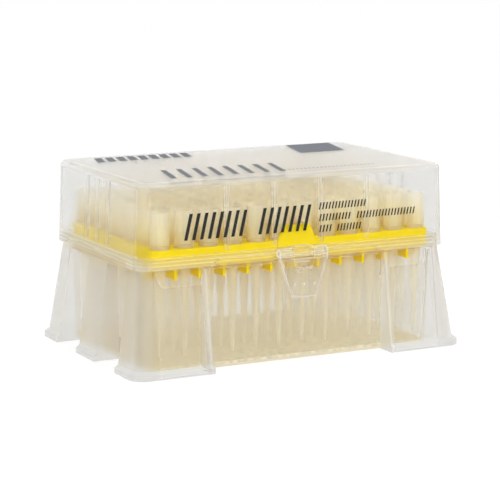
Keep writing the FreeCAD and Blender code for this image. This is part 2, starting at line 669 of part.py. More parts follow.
def make_latch():
    """Flap that hangs in front of the base: two barrels, a tapered plate, a hook, grip studs."""
    body = new_body("latch")
    half = s.latch_width / 2
    tip = s.latch_tip_width / 2
    low = latch_z - s.latch_drop
    plate = sketch_on(body, "plate_outline", "XZ_Plane", latch_front)
    outline(plate, [(-tip, low, None), (tip, low, None), (half, latch_z - s.latch_straight, None),
                    (half, latch_z, None), (-half, latch_z, None),
                    (-half, latch_z - s.latch_straight, None)])
    flap = extrude(body, "Pad", "plate", plate, s.latch_plate, reverse=True)

    def lower_corner(edge):
        bounds = edge.BoundBox
        upright = bounds.YLength > s.latch_plate.value / 2
        return upright and bounds.ZMax < low.value + 1e-4
    fillet(body, "plate_round", flap, lower_corner, s.latch_corner)

    barrel = sketch_on(body, "barrel_outline", "YZ_Plane")
    circle(barrel, -latch_y, latch_z, s.latch_barrel / 2)
    extrude(body, "Pad", "barrel", barrel, s.latch_width, symmetric=True)
    pad_top = latch_z - s.notch_drop
    box(body, "Pad", "pad", -(s.boss_width / 2), s.boss_width / 2,
        -(latch_front + s.latch_pad_rise), -latch_back, pad_top - s.latch_pad, pad_top)
    box(body, "Pad", "hook", -(s.hook_width / 2), s.hook_width / 2,
        -latch_front + s.latch_plate / 2, -(latch_back - s.hook_reach),
        hook_top - s.hook_height, hook_top)

    bore = sketch_on(body, "bore_outline", "YZ_Plane")
    circle(bore, -latch_y, latch_z, s.latch_pin / 2 + s.latch_fit)
    extrude(body, "Pocket", "bore", bore, s.latch_width * 2, symmetric=True)
    gap = s.boss_width / 2 + s.boss_gap
    box(body, "Pocket", "boss_notch", -gap, gap, -(latch_front + s.latch_barrel), ZERO,
        pad_top, latch_z + s.latch_barrel)
    window_low = hook_top + s.window_rise
    for number, side in enumerate((-1, 1), start=1):
        middle = s.window_spread if side > 0 else -s.window_spread
        box(body, "Pocket", "window_%d" % number, middle - s.window_width / 2,
            middle + s.window_width / 2, -(latch_front + s.latch_barrel),
            -latch_back - s.window_skin, window_low, window_low + s.window_height)

    for number, steps in enumerate((-1, 0, 1), start=1):
        stud = sketch_on(body, "stud_outline_%d" % number, "XZ_Plane",
                         latch_front - s.latch_plate / 2)
        circle(stud, s.grip_spread * steps, latch_z - s.grip_drop, s.grip_radius)
        extrude(body, "Pad", "stud_%d" % number, stud, s.latch_plate / 2 + s.latch_pad_rise)
    return body


# ---------------------------------------------------------------- tray

def make_tray():
    """Coloured tray: deck with a hole for each tip, skirt, crossed ribs and a lifting tab."""
    body = new_body("tip_tray")
    deck = sketch_on(body, "deck_outline", "XY_Plane", deck_bottom)
    outline(deck, rounded(tray_x, tray_y, s.tray_corner))
    extrude(body, "Pad", "deck", deck, s.tray_deck)
    skirt = sketch_on(body, "skirt_outline", "XY_Plane", s.parting_height)
    outline(skirt, rounded(tray_x, tray_y, s.tray_corner))
    outline(skirt, rounded(tray_x - s.tray_skirt, tray_y - s.tray_skirt,
                           s.tray_corner - s.tray_skirt))
    extrude(body, "Pad", "skirt", skirt, s.tray_rise - s.tray_deck / 2)

    half = s.tray_rib / 2
    across = s.pitch * (s.columns / 2 - 1)
    rib = box(body, "Pad", "cross_rib", -across - half, -across + half, -rib_y, rib_y,
              rib_bottom, deck_bottom + s.tray_deck / 2)
    linear_pattern(body, "cross_ribs", rib, "X_Axis", across * 2, s.columns - 1)
    along = s.pitch * (s.rows / 2 - 1)
    rib = box(body, "Pad", "long_rib", -rib_x, rib_x, -along - half, -along + half,
              rib_bottom, deck_bottom + s.tray_deck / 2)
    linear_pattern(body, "long_ribs", rib, "Y_Axis", along * 2, s.rows - 1)

    tab = sketch_on(body, "tab_outline", "XZ_Plane", tray_y + s.tab_offset)
    outline(tab, [(-s.tab_reach, deck_top - s.tab_foot_drop, None),
                  (s.tab_reach, deck_top - s.tab_foot_drop, None), (s.tab_reach, deck_top, None),
                  (s.tab_top_reach, deck_top + s.tab_rise, None),
                  (-s.tab_top_reach, deck_top + s.tab_rise, None), (-s.tab_reach, deck_top, None)])
    extrude(body, "Pad", "tab", tab, s.tab_thickness, reverse=True)
    box(body, "Pad", "tab_foot", -s.tab_reach, s.tab_reach, -(tray_y + s.tab_offset),
        -(tray_y - s.tray_skirt / 2), deck_top - s.tab_foot_drop, deck_top)

    first_x = -(s.pitch * (s.columns - 1) / 2)
    first_y = -(s.pitch * (s.rows - 1) / 2)
    hole = sketch_on(body, "hole_outline", "XY_Plane", deck_bottom - s.tray_deck)
    circle(hole, first_x, first_y, s.tray_hole / 2)
    cut = extrude(body, "Pocket", "hole", hole, s.tray_deck * 3, reverse=True)
    grid = body.newObject("PartDesign::MultiTransform", "holes")
    grid.Originals = [cut]
    steps = []
    for name, axis, count in (("holes_x", "X_Axis", s.columns), ("holes_y", "Y_Axis", s.rows)):
        step = body.newObject("PartDesign::LinearPattern", name)
        step.Direction = (plane_of(body, axis), [""])
        step.Length = (s.pitch * (count - 1)).value
        step.setExpression("Length", (s.pitch * (count - 1)).text)
        step.Occurrences = int(round(count.value))
        step.setExpression("Occurrences", count.text)
        steps.append(step)
    grid.Transformations = steps
    body.Tip = grid
    return body


# ---------------------------------------------------------------- tips and filters

tip_top = deck_top + s.tip_head_height
tip_point_z = deck_top - s.tip_drop
tip_waist_z = deck_top - s.tip_waist_drop
mouth_bore = s.tip_mouth / 2 - s.tip_wall
neck_bore = s.tip_neck / 2 - s.tip_wall


def bore_at(below_mouth):
    """Radius inside the tip's head at a depth below its mouth, less the filter's clearance."""
    return mouth_bore - (mouth_bore - neck_bore) * (below_mouth / s.tip_head_height) - s.filter_fit


def tip_profile():
    """Half section of a tip as (radius, height), up the outside and down the inside."""
    return [(s.tip_orifice / 2, tip_point_z), (s.tip_point / 2, tip_point_z),
            (s.tip_waist / 2, tip_waist_z), (s.tip_neck / 2, deck_top),
            (s.tip_collar / 2, deck_top), (s.tip_collar / 2, deck_top + s.tip_collar_height),
            (s.tip_mouth / 2, deck_top + s.tip_collar_height * 2), (s.tip_mouth / 2, tip_top),
            (mouth_bore, tip_top), (neck_bore, deck_top),
            (s.tip_waist / 2 - s.tip_wall, tip_waist_z)]


def filter_profile():
    """Half section of the plug that sits in a tip's head."""
    top = tip_top - s.filter_depth
    return [(ZERO, top - s.filter_length),
            (bore_at(s.filter_depth + s.filter_length), top - s.filter_length),
            (bore_at(s.filter_depth), top), (ZERO, top)]


def make_column(label, profile, number):
    """One column of eight like turned pieces, front to back."""
    body = new_body(label)
    body.AllowCompound = True
    sketch = sketch_on(body, "half_section", "XZ_Plane", s.pitch * (s.rows - 1) / 2)
    outline(sketch, [(radius, height, None) for radius, height in profile()])
    turned = body.newObject("PartDesign::Revolution", "turned")
    turned.Profile = sketch
    turned.ReferenceAxis = (sketch, ["V_Axis"])
    turned.Angle = 360
    linear_pattern(body, "row", turned, "Y_Axis", s.pitch * (s.rows - 1), s.rows)
    place = s.pitch * number - s.pitch * (s.columns - 1) / 2
    body.Placement = Placement(Vector(place.value, 0, 0), Rotation())
    body.setExpression("Placement.Base.x", place.text)
    return body


# ---------------------------------------------------------------- document

bodies = [make_base(), make_lid(), make_latch(), make_tray()]
for column in range(int(s.columns.value)):
    bodies.append(make_column("tips_column_%02d" % (column + 1), tip_profile, column))
    bodies.append(make_column("filters_column_%02d" % (column + 1), filter_profile, column))
doc.recompute()

for item in doc.Objects:
    if "Invalid" in item.State or "Error" in item.State:
        raise RuntimeError("%s failed: %s" % (item.Label, item.State))
for body in bodies:
    if body.Shape.isNull() or not body.Shape.isValid():
        raise RuntimeError("bad shape: " + body.Label)

os.makedirs("parts", exist_ok=True)
for body in bodies:
    body.Shape.exportStep("parts/%s.step" % body.Label)
    print("%-20s solids %3d volume %10.1f" % (body.Label, len(body.Shape.Solids), body.Shape.Volume))
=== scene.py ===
from collections import namedtuple
import json
import math

import bmesh
import bpy
from mathutils import Matrix, Vector

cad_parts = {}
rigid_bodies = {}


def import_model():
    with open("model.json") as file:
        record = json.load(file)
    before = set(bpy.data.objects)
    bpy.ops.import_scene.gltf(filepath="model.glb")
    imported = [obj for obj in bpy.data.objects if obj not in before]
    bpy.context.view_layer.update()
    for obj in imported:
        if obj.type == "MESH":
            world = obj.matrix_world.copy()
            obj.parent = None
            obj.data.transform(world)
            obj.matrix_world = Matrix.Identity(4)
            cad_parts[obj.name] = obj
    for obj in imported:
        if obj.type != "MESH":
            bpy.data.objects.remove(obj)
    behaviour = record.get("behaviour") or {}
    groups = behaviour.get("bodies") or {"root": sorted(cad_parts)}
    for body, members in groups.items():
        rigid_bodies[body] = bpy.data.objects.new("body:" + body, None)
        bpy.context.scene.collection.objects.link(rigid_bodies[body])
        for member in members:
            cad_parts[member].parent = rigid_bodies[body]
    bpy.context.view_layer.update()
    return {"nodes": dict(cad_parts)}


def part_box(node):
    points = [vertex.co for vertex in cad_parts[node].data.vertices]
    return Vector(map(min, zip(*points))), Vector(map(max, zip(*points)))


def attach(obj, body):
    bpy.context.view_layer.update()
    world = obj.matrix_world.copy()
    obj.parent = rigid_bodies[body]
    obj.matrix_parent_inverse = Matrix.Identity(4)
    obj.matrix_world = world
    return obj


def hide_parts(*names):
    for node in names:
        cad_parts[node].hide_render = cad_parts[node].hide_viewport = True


# Dresses the packed box of filtered pipette tips. The base, the lid, the latch, the tray and the
# filters keep their packed nodes and get their materials. The tips become smooth hollow meshes
# with finned heads, the lid gets plain print, and a white studio stands round them.
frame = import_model()

bl_info = {
    "name": "Tip Box Dresser",
    "version": (1, 0, 0),
    "blender": (4, 5, 0),
    "location": "View3D > Sidebar > Tip Box",
    "description": "Finishes a hinged box of filtered pipette tips and lights it",
    "category": "Object",
}

MM = 0.001
NODES = frame["nodes"]
LID_LOW, LID_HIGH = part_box("lid")
SHARP_ANGLE = math.radians(28.0)

# Tips: how many stand in a column, and the finer parts of their shape. The two rings are the
# places in a tip's profile between which its head carries fins.
ROWS = 8
CORNER_CUT = 0.15 * MM
RING_HEAD_LOW = 7
RING_HEAD_HIGH = 8
FACETS_PER_FIN = 3
FIN_TAPER = 0.12 * MM
WELD_DISTANCE = 0.5e-6

# Print: how far the ink clears the leaning front and shows above the flat top, the X and Z at
# which the front wall is felt for, and how much of a stroke's pitch is inked.
INK_GAP = 0.01 * MM
INK_SHOWS = 0.005 * MM
FRONT_SPOT = (-0.050, 0.050)
STROKE_SHARE = 0.42

# Places in millimetres where the frosted plastic is paler: heights of the rim's edges, X and Y
# of the lid's ribs, half width and height of the latch where it ends and where it is widest,
# and X and Z of the latch's studs with their reach. On the rim's edges and the latch's edges and
# studs the paleness is partly thicker plastic and partly painted highlight.
RIM_EDGES = (35.9, 37.1, 38.3, 39.8)
LONG_WALL_RIBS = (-27.0, -9.0, 9.0, 27.0)
SHORT_WALL_RIBS = (-9.0, 0.0, 9.0)
# The latch's pale edges and studs are partly painted highlights.
LATCH_FOOT = (4.5, 22.9)
LATCH_SHOULDER = (9.2, 36.0)
STUDS = ((-3.9, 27.4), (0.0, 27.4), (3.9, 27.4))
STUD_REACH = 1.0
STUD_WEIGHT = 2.0

# Patterns: the size of their lumps in metres, their scale along X, Y and Z, and their detail.
Pattern = namedtuple("Pattern", "grain stretch detail")
EVEN = (1.0, 1.0, 1.0)
WALL_FLOW = Pattern(0.012, (1.0, 1.0, 0.25), 3.0)
FLOOR_MARKS = Pattern(0.0014, (0.6, 1.0, 1.0), 1.0)
TRAY_FLOW = Pattern(0.02, (1.0, 1.0, 0.4), 2.0)
TRAY_GRAIN = Pattern(0.0004, EVEN, 2.0)
TIP_FLOW = Pattern(0.004, (1.0, 1.0, 0.3), 2.0)
FELT_PORES = Pattern(0.00035, EVEN, 4.0)
INK_COVER = Pattern(0.0006, EVEN, 3.0)
FROST_DETAIL = 3.0

# Reliefs: their strength from 0 to 1, and their depth in metres.
Relief = namedtuple("Relief", "strength depth")
FROST_RELIEF = Relief(0.1, 0.02 * MM)
TRAY_RELIEF = Relief(0.25, 0.02 * MM)
FELT_RELIEF = Relief(0.8, 0.08 * MM)

# Swings: how far a pattern varies a roughness or a share of milk, from its least to its most.
WALL_GLOSS_SWING = 0.06
FROST_GLOSS_SWING = 0.04
HAZE_GLOSS_SWING = 0.1
TRAY_GLOSS_SWING = 0.12
TIP_GLOSS_SWING = 0.06
TIP_MILK_SWING = 0.08
INK_GLOSS_SWING = 0.1

# Surfaces: what else the materials are made of. The graze is the sheen seen edge on, the marks
# are the mottling of the tub's floor, and the top's depth is where print counts as on top.
MILK_ROUGHNESS = 0.45
TIP_MILK_ROUGHNESS = 0.4
TIP_GLOW_BACK = 0.5
GRAZE_BLEND = 0.5
GRAZE_POWER = 3.0
# The floor's warmth is partly the plastic's own colour and partly a painted glow of the tray.
FLOOR_WARMTH_AND_GLOW = 0.8
MARKS_LEVEL = 0.45
MARKS_CONTRAST = 1.6
MARKS_FADE = 0.1
TRAY_SPECULAR = 0.1
FELT_SHADE = 0.86
FELT_ROUGHNESS = 0.9
INK_ROUGHNESS = 0.42
INK_SPECULAR = 0.15
INK_FADE = 0.02
TOP_DEPTH = 1.0 * MM

# Studio: places and sizes in metres, the sensor in millimetres, and how often light may turn.
SOFTBOX_AIM = (0.0, 0.0, 0.03)
SOFTBOX_SIZE = 0.6
OVERHEAD_PLACE = (0.1, -0.1, 0.7)
FRONT_PLACE = (-0.22, -0.73, 0.3)
FLOOR_REACH = 3.0
PAPER = (0.97, 0.97, 0.97)
WHITE = (1.0, 1.0, 1.0)
SENSOR_WIDTH = 36.0
CLIP_START = 0.05
CLIP_END = 20.0
CLEAR_BOUNCES = 64
OTHER_BOUNCES = 32


def hatching(start, end, low, high, count, share_inked=STROKE_SHARE):
    """Evenly spaced strokes from start to end, as (across, along) in millimetres."""
    pitch = (end - start) / count
    return [((start + pitch * i, start + pitch * (i + share_inked)), (low, high))
            for i in range(count)]


# Each print's name, its face of the lid and its strokes, which lie along X and Z on the front
# and along X and Y on top.
PRINT = (
    ("print_front_large", "front", hatching(-43.2, -20.0, 45.0, 53.8, 8)
     + hatching(-15.6, 4.4, 45.0, 53.8, 7)),
    ("print_front_small", "front", hatching(7.8, 26.6, 51.8, 54.2, 15)
     + hatching(7.8, 20.5, 47.8, 50.2, 10) + hatching(22.6, 46.4, 47.8, 50.2, 19)
     + hatching(7.8, 13.0, 44.0, 46.4, 4) + hatching(14.8, 24.6, 44.0, 46.4, 8)),
    ("print_top_back", "top", hatching(-49.0, -11.0, 21.0, 32.0, 9, 0.7)),
    ("print_top_large", "top", hatching(-43.0, 4.0, -27.5, -7.5, 8, 0.36)),
    ("print_top_block", "top", [((27.5, 46.0), (12.0, 34.5))]),
    ("print_top_line", "top", hatching(-1.0, 37.0, -26.2, -24.2, 24)),
)


# ---------------------------------------------------------------- sizes and colours

def length(name, description, millimetres):
    """A length, given in millimetres and kept in metres."""
    return bpy.props.FloatProperty(name=name, description=description, default=millimetres * MM,
                                   unit="LENGTH", min=0.0)


def share(name, description, default):
    """A value from 0 to 1."""
    return bpy.props.FloatProperty(name=name, description=description, default=default,
                                   subtype="FACTOR", min=0.0, max=1.0)


def colour(name, description, default):
    """A colour in linear red, green and blue."""
    return bpy.props.FloatVectorProperty(name=name, description=description, default=default,
                                         subtype="COLOR", size=3, min=0.0, max=1.0)


def angle(name, description, degrees):
    """An angle, given in degrees and kept in radians."""
    return bpy.props.FloatProperty(name=name, description=description,
                                   default=math.radians(degrees), subtype="ANGLE")


def refraction(default):
    """How strongly a plastic bends light."""
    return bpy.props.FloatProperty(name="Refraction", description="Index of refraction",
                                   default=default, min=1.0, max=2.0)


def power(name, description, watts):
    """The power of a lamp."""
    return bpy.props.FloatProperty(name=name, description=description, default=watts, min=0.0,
                                   unit="POWER")


class TipBoxShellLook(bpy.types.PropertyGroup):
    """Frosted natural plastic of the base, lid and latch."""
    tint: colour("Tint", "Colour that each pass through the lid's or latch's wall gives",
                 (0.992, 0.992, 0.988))
    tub_tint: colour("Tub tint", "Colour that each pass through the tub's wall gives",
                     (0.985, 0.978, 0.955))
    feet_tint: colour("Feet tint", "Colour that each pass through a hollow foot's wall gives",
                      (0.950, 0.941, 0.917))
    refraction: refraction(1.15)
    roughness: share("Roughness", "How matt the smoother part of the surface is", 0.2)
    haze_roughness: share("Haze roughness", "How matt the hazy part of the surface is", 0.65)
    haze: share("Haze", "Share of the lid's flat walls that is hazy", 0.15)
    edge_haze: share("Edge haze", "Share of the lid's rounded edges that is hazy", 0.36)
    tub_haze: share("Tub haze", "Share of the tub's walls that is hazy", 0.22)
    feet_haze: share("Feet haze", "Share of the hollow feet that is hazy", 0.36)
    latch_haze: share("Latch haze", "Share of the latch that is hazy", 0.12)
    grain: length("Grain", "Size of the frosted grain", 0.5)
    milk_colour: colour("Milk colour", "Colour of the light scattered inside a wall",
                        (0.85, 0.84, 0.82))
    milk: share("Milk", "Share of the light that every wall scatters", 0.006)
    glow_back: share("Scattered back", "Share of the scattered light that turns back", 0.5)
    sheen: share("Sheen", "Light scattered where the base or lid is seen edge on", 0.5)
    latch_sheen: share("Latch sheen", "Light scattered where the latch is seen edge on", 1.0)

    lid_edge_x: length("Lid edge X", "Where the lid's end walls begin to round", 55.5)
    lid_edge_y: length("Lid edge Y", "Where the lid's long walls begin to round", 33.8)
    lid_edge_z: length("Lid edge Z", "Where the lid's top begins to round", 62.6)
    rib_start: length("Rib start", "Lowest end of the lid's ribs", 40.7)
    rib_reach: length("Rib reach", "How wide a rib's pale line is, each way", 1.4)
    rib_milk: share("Rib milk", "Share of the light that a rib scatters", 0.14)

    latch_milk: share("Latch milk", "Share of the light that the thin latch scatters", 0.02)
    # The latch's pale edges and studs are partly painted highlights.
    trim_reach: length("Trim reach", "How wide the latch's pale edges are, each way", 0.6)
    trim_milk_and_highlight: share("Trim milk", "Share of the light that the latch's edges scatter", 0.5)

    rim_middle: length("Rim middle", "Height of the middle of the thick rim", 36.9)
    rim_reach: length("Rim reach", "How far up and down the rim grows clearer", 3.2)
    rim_milk: share("Rim milk", "Share of the light that the thick rim scatters", 0.09)
    # The rim's pale edges are partly thicker plastic and partly painted highlights of the
    # overhead light.
    edge_reach: length("Edge reach", "How wide the rim's pale edges are, each way", 0.3)
    edge_milk_and_highlight: share("Edge milk", "Share of the light that the rim's edges scatter", 0.15)

    walls_length: length("Walls length", "Outside of the tub's walls along X", 108.6)
    foot_side: length("Foot side", "Side wall of a corner foot from the middle along X", 34.95)
    foot_side_reach: length("Foot side reach", "How wide that wall's pale line is, each way", 1.5)
    foot_top: length("Foot top", "Where the corner feet meet the rim", 34.7)
    foot_milk: share("Foot milk", "Share of the light that a foot's side wall scatters", 0.4)

    # The floor's warm cast is partly the thick plastic's own colour and partly a painted glow of
    # the yellow tray's light.
    floor_tint_and_painted_glow: colour("Floor tint", "Warm cast of the tub's thick floor", (0.98, 0.90, 0.66))
    floor_milk: share("Floor milk", "Share of the light that the tub's floor scatters", 0.5)
    floor_height: length("Floor height", "Top of the tub's floor", 1.75)
    tub_length: length("Tub length", "Tub along X at its floor", 107.8)
    tub_width: length("Tub width", "Tub along Y at its floor", 69.2)


class TipBoxTrayLook(bpy.types.PropertyGroup):
    """Opaque coloured plastic of the tray."""
    pigment: colour("Pigment", "Colour of the tray", (0.87, 0.67, 0.0))
    shade: colour("Shade", "Colour where the pigment flowed denser", (0.84, 0.64, 0.0))
    roughness: share("Roughness", "How matt the tray is", 0.38)


class TipBoxTipLook(bpy.types.PropertyGroup):
    """Hollow tips and the filters in them."""
    tint: colour("Tint", "Colour that each pass through a tip's wall gives", (1.0, 0.997, 0.985))
    refraction: refraction(1.1)
    roughness: share("Roughness", "How matt a tip is", 0.32)
    milk_colour: colour("Milk colour", "Colour of the light scattered in a tip",
                        (0.96, 0.93, 0.80))
    milk: share("Milk", "Share of the light that a tip scatters", 0.24)

    # The tips' warmth beside the deck is a painted glow that stands for the yellow tray's light.
    deck: length("Deck", "Height of the tray's deck, which colours the tips beside it", 41.8)
    painted_glow_reach: length("Glow reach", "How far up and down that colour shows in the tips", 11.0)
    painted_glow_strength: share("Glow strength", "Light scattered where a tip meets the deck", 0.28)
    painted_glow_tint: colour("Glow tint", "Tint of a tip at the deck", (1.0, 0.97, 0.80))
    painted_glow_milk: colour("Glow milk", "Milk colour of a tip at the deck", (0.97, 0.89, 0.58))
    filter_colour: colour("Filter", "Colour of the porous filters", (0.84, 0.79, 0.62))

    head_height: length("Head", "Tip above the tray's deck", 12.4)
    collar_height: length("Collar", "Height of the collar that rests on the deck", 1.4)
    mouth: length("Mouth", "Outside of a tip's mouth", 6.2)
    neck: length("Neck", "Outside of a tip under the deck", 5.2)
    waist: length("Waist", "Outside where the tip turns slender", 2.7)
    waist_drop: length("Waist drop", "Where it turns slender, below the deck", 20.5)
    wall: length("Wall", "Wall of a tip", 0.55)
    point: length("Point", "Outside of a tip's point", 1.0)
    orifice: length("Orifice", "Hole in a tip's point", 0.5)
    fin_depth: length("Fins", "How far the fins on a tip's head stand out", 0.25)
    sides: bpy.props.IntProperty(name="Sides", description="Facets round a tip", default=24,
                                 min=8, max=48)


class TipBoxPrintLook(bpy.types.PropertyGroup):
    """Plain marks printed on the lid."""
    ink: colour("Ink", "Colour of the print", (0.006, 0.006, 0.008))
    # The top's greyer ink is a painted sheen of ink seen at a grazing angle.
    top_ink_painted_sheen: colour("Worn ink", "Colour of the thinner print on top", (0.10, 0.11, 0.13))
    thickness: length("Thickness", "Thickness of the ink", 0.04)
    slant: angle("Slant", "Lean of the strokes", 14.0)
    wall_lean: length("Lean", "How far the lid's wall leans in over its height", 1.0)


class TipBoxStageLook(bpy.types.PropertyGroup):
    """White studio and the camera."""
    azimuth: angle("Azimuth", "Bearing of the camera", -27.083)
    elevation: angle("Elevation", "Camera above the bench", 10.119)
    distance: length("Distance", "Camera from its aim", 711.66)
    focal_length: bpy.props.FloatProperty(name="Focal length", description="Lens of the camera",
                                          default=143.25, min=1.0, unit="CAMERA")
    aim: bpy.props.FloatVectorProperty(name="Aim", description="Point the camera looks at",
                                       default=(0.00016, -0.00057, 0.03257),
                                       subtype="TRANSLATION", size=3)
    ambient: bpy.props.FloatProperty(name="Ambient", description="Strength of the room's light",
                                     default=1.0, min=0.0)
    backdrop: share("Backdrop", "Whiteness of the studio in gloss and through plastic", 0.77)
    overhead: power("Overhead", "Power of the softbox overhead", 2.2)
    front: power("Front", "Power of the softbox in front", 2.2)
    shadow: share("Shadow", "How much of the shadow the floor keeps in view", 0.12)


LOOKS = {
    "tipbox_shell": TipBoxShellLook,
    "tipbox_tray": TipBoxTrayLook,
    "tipbox_tips": TipBoxTipLook,
    "tipbox_print": TipBoxPrintLook,
    "tipbox_stage": TipBoxStageLook,
}


# ---------------------------------------------------------------- shader building

class Wire:
    """A shader value; sums and products of wires add their Math nodes."""

    def __init__(self, tree, socket):
        self.tree = tree
        self.socket = socket

    def maths(self, operation, *values, clamp=False):
        made = self.tree.nodes.new("ShaderNodeMath")
        made.operation = operation
        made.use_clamp = clamp
        for index, value in enumerate(values):
            feed(self.tree, value, made.inputs[index])
        return Wire(self.tree, made.outputs[0])

    def __add__(self, other):
        return self.maths("ADD", self, other)

    def __radd__(self, other):
        return self.maths("ADD", other, self)

    def __sub__(self, other):
        return self.maths("SUBTRACT", self, other)

    def __rsub__(self, other):
        return self.maths("SUBTRACT", other, self)

    def __mul__(self, other):
        return self.maths("MULTIPLY", self, other)

    def __rmul__(self, other):
        return self.maths("MULTIPLY", other, self)

    def __truediv__(self, other):
        return self.maths("DIVIDE", self, other)

    def __gt__(self, other):
        return self.maths("GREATER_THAN", self, other)

    def __lt__(self, other):
        return self.maths("LESS_THAN", self, other)

    def clamped(self):
        return self.maths("ADD", self, 0.0, clamp=True)

    def raised(self, exponent):
        return self.maths("POWER", self, exponent)

    def magnitude(self):
        return self.maths("ABSOLUTE", self)

    def at_most(self, limit):
        return self.maths("MINIMUM", self, limit)

    def swing(self, reach):
        """A pattern from 0 to 1, made to span that reach about 0."""
        return (self - 0.5) * reach

    def near(self, level, reach):
        """1 at the level, falling to 0 at that reach above and below it."""
        return (1.0 - (self - level).magnitude() / reach).clamped()


def feed(tree, value, socket):
    """Links a wire to a socket, or sets the socket's own value."""
    if isinstance(value, Wire):
        tree.links.new(value.socket, socket)
        return
    if hasattr(value, "__len__") and len(value) == 3 and socket.type == "RGBA":
        value = (*value, 1.0)
    socket.default_value = value


Place = namedtuple("Place", "x y z")


class Finish:
    """One material's node tree."""

    def __init__(self, name):
        self.material = bpy.data.materials.new(name)
        self.material.use_nodes = True
        self.tree = self.material.node_tree
        self.tree.nodes.clear()

    def node(self, kind, inputs=None, output=0):
        """Adds a shader node. An input given as None stays as it is."""
        made = self.tree.nodes.new("ShaderNode" + kind)
        for key, value in (inputs or {}).items():
            if value is not None:
                feed(self.tree, value, made.inputs[key])
        return Wire(self.tree, made.outputs[output])

    def object_place(self):
        """The point on the piece, which stays with it in every pose."""
        return self.node("TexCoord", output="Object")

    def axes(self):
        """X, Y and Z on the piece."""
        split = self.node("SeparateXYZ", {"Vector": self.object_place()})
        return Place(*(Wire(self.tree, socket) for socket in split.socket.node.outputs))

    def noise(self, pattern):
        """Noise from 0 to 1."""
        turned = self.node("Mapping", {"Vector": self.object_place(), "Scale": pattern.stretch})
        return self.node("TexNoise", {"Vector": turned, "Scale": 1.0 / pattern.grain,
                                      "Detail": pattern.detail})

    def bump(self, height, relief):
        """A normal that follows a height."""
        return self.node("Bump", {"Height": height, "Strength": relief.strength,
                                  "Distance": relief.depth})

    def blend(self, factor, first, second):
        """Colours mixed by a factor. A Mix node's colour sockets follow its other kinds."""
        made = self.tree.nodes.new("ShaderNodeMix")
        made.data_type = "RGBA"
        for index, value in ((0, factor), (6, first), (7, second)):
            feed(self.tree, value, made.inputs[index])
        return Wire(self.tree, made.outputs[2])

    def mix(self, factor, first, second):
        """Shaders mixed by a factor."""
        return self.node("MixShader", {0: factor, 1: first, 2: second})

    def clear(self, tint, roughness, index, relief=None):
        """Plastic that light passes through."""
        return self.node("BsdfPrincipled", {
            "Base Color": tint, "Roughness": roughness, "IOR": index,
            "Transmission Weight": 1.0, "Normal": relief})

    def milky(self, tint, roughness, back, relief=None):
        """Plastic that scatters light, and turns the given share of it back."""
        lit_behind = self.node("BsdfTranslucent", {"Color": tint, "Normal": relief})
        lit_before = self.node("BsdfPrincipled", {
            "Base Color": tint, "Roughness": roughness, "Normal": relief})
        return self.mix(1.0 - back, lit_before, lit_behind)

    def opaque(self, tint, roughness, specular=None, relief=None):
        """A solid colour."""
        return self.node("BsdfPrincipled", {
            "Base Color": tint, "Roughness": roughness, "Specular IOR Level": specular,
            "Normal": relief})

    def finished(self, surface):
        """Joins the surface to the output and gives the material."""
        output = self.tree.nodes.new("ShaderNodeOutputMaterial")
        self.tree.links.new(surface.socket, output.inputs["Surface"])
        return self.material


# ---------------------------------------------------------------- materials

# What sets one part of a frosted piece apart from another.
Wall = namedtuple("Wall", "tint haze")


def in_feet(look, at):
    """1 in the hollow feet beyond the tub's walls."""
    return at.x.magnitude() > look.walls_length / 2


def at_lid_edges(look, at):
    """1 where two of the lid's outer faces meet in a round."""
    faces = ((at.x.magnitude() > look.lid_edge_x) + (at.y.magnitude() > look.lid_edge_y)
             + (at.z > look.lid_edge_z))
    return faces > 1.5


def rim_trim(look, at):
    """Milk of the thick rim, and more along its edges, where it is partly painted highlight."""
    edges = sum((at.z.near(level * MM, look.edge_reach) for level in RIM_EDGES), 0.0)
    return at.z.near(look.rim_middle, look.rim_reach) * look.rim_milk + edges * look.edge_milk_and_highlight


def foot_trim(look, at):
    """Milk of the base: more in the side walls of the corner feet, seen edge on."""
    side = at.x.magnitude().near(look.foot_side, look.foot_side_reach) * (at.z < look.foot_top)
    return side * (at.y.magnitude() > look.tub_width / 2) * look.foot_milk


def lid_trim(look, at):
    """Milk of the lid: more in the ribs inside its walls."""
    long_ribs = sum((at.x.near(x * MM, look.rib_reach) for x in LONG_WALL_RIBS), 0.0)
    short_ribs = sum((at.y.near(y * MM, look.rib_reach) for y in SHORT_WALL_RIBS), 0.0)
    ribs = (long_ribs * (at.y.magnitude() > look.lid_edge_y)
            + short_ribs * (at.x.magnitude() > look.lid_edge_x))
    return ribs * (at.z > look.rib_start) * (at.z < look.lid_edge_z) * look.rib_milk


def latch_trim(look, at):
    """Milk of the latch: more along its edges and on its studs, partly painted highlights there.
    """
    (foot_x, foot_z), (shoulder_x, shoulder_z) = LATCH_FOOT, LATCH_SHOULDER
    slope = (shoulder_x - foot_x) / (shoulder_z - foot_z)
    half = ((at.z - foot_z * MM) * slope + foot_x * MM).at_most(shoulder_x * MM)
    pale = ((at.x.magnitude() - half).near(0.0, look.trim_reach)
            + at.z.near(foot_z * MM, look.trim_reach))
    for stud_x, stud_z in STUDS:
        off = (at.x - stud_x * MM).magnitude() + (at.z - stud_z * MM).magnitude()
        pale = pale + off.near(0.0, STUD_REACH * MM) * STUD_WEIGHT
    return pale.clamped() * look.trim_milk_and_highlight + look.latch_milk


def tub_floor(f, look, at):
    """1 in the tub's floor, and the strength of its warm cast, which is mottled on top: partly
    the plastic's own colour, partly a painted glow of the yellow tray.
    """
    in_floor = ((at.x.magnitude() < look.tub_length / 2)
                * (at.y.magnitude() < look.tub_width / 2) * (at.z < look.floor_height))
    marks = (f.noise(FLOOR_MARKS) - MARKS_LEVEL) * MARKS_CONTRAST - MARKS_FADE
    upper = at.z > look.floor_height / 2
    return in_floor, in_floor * (upper * marks + FLOOR_WARMTH_AND_GLOW).clamped()


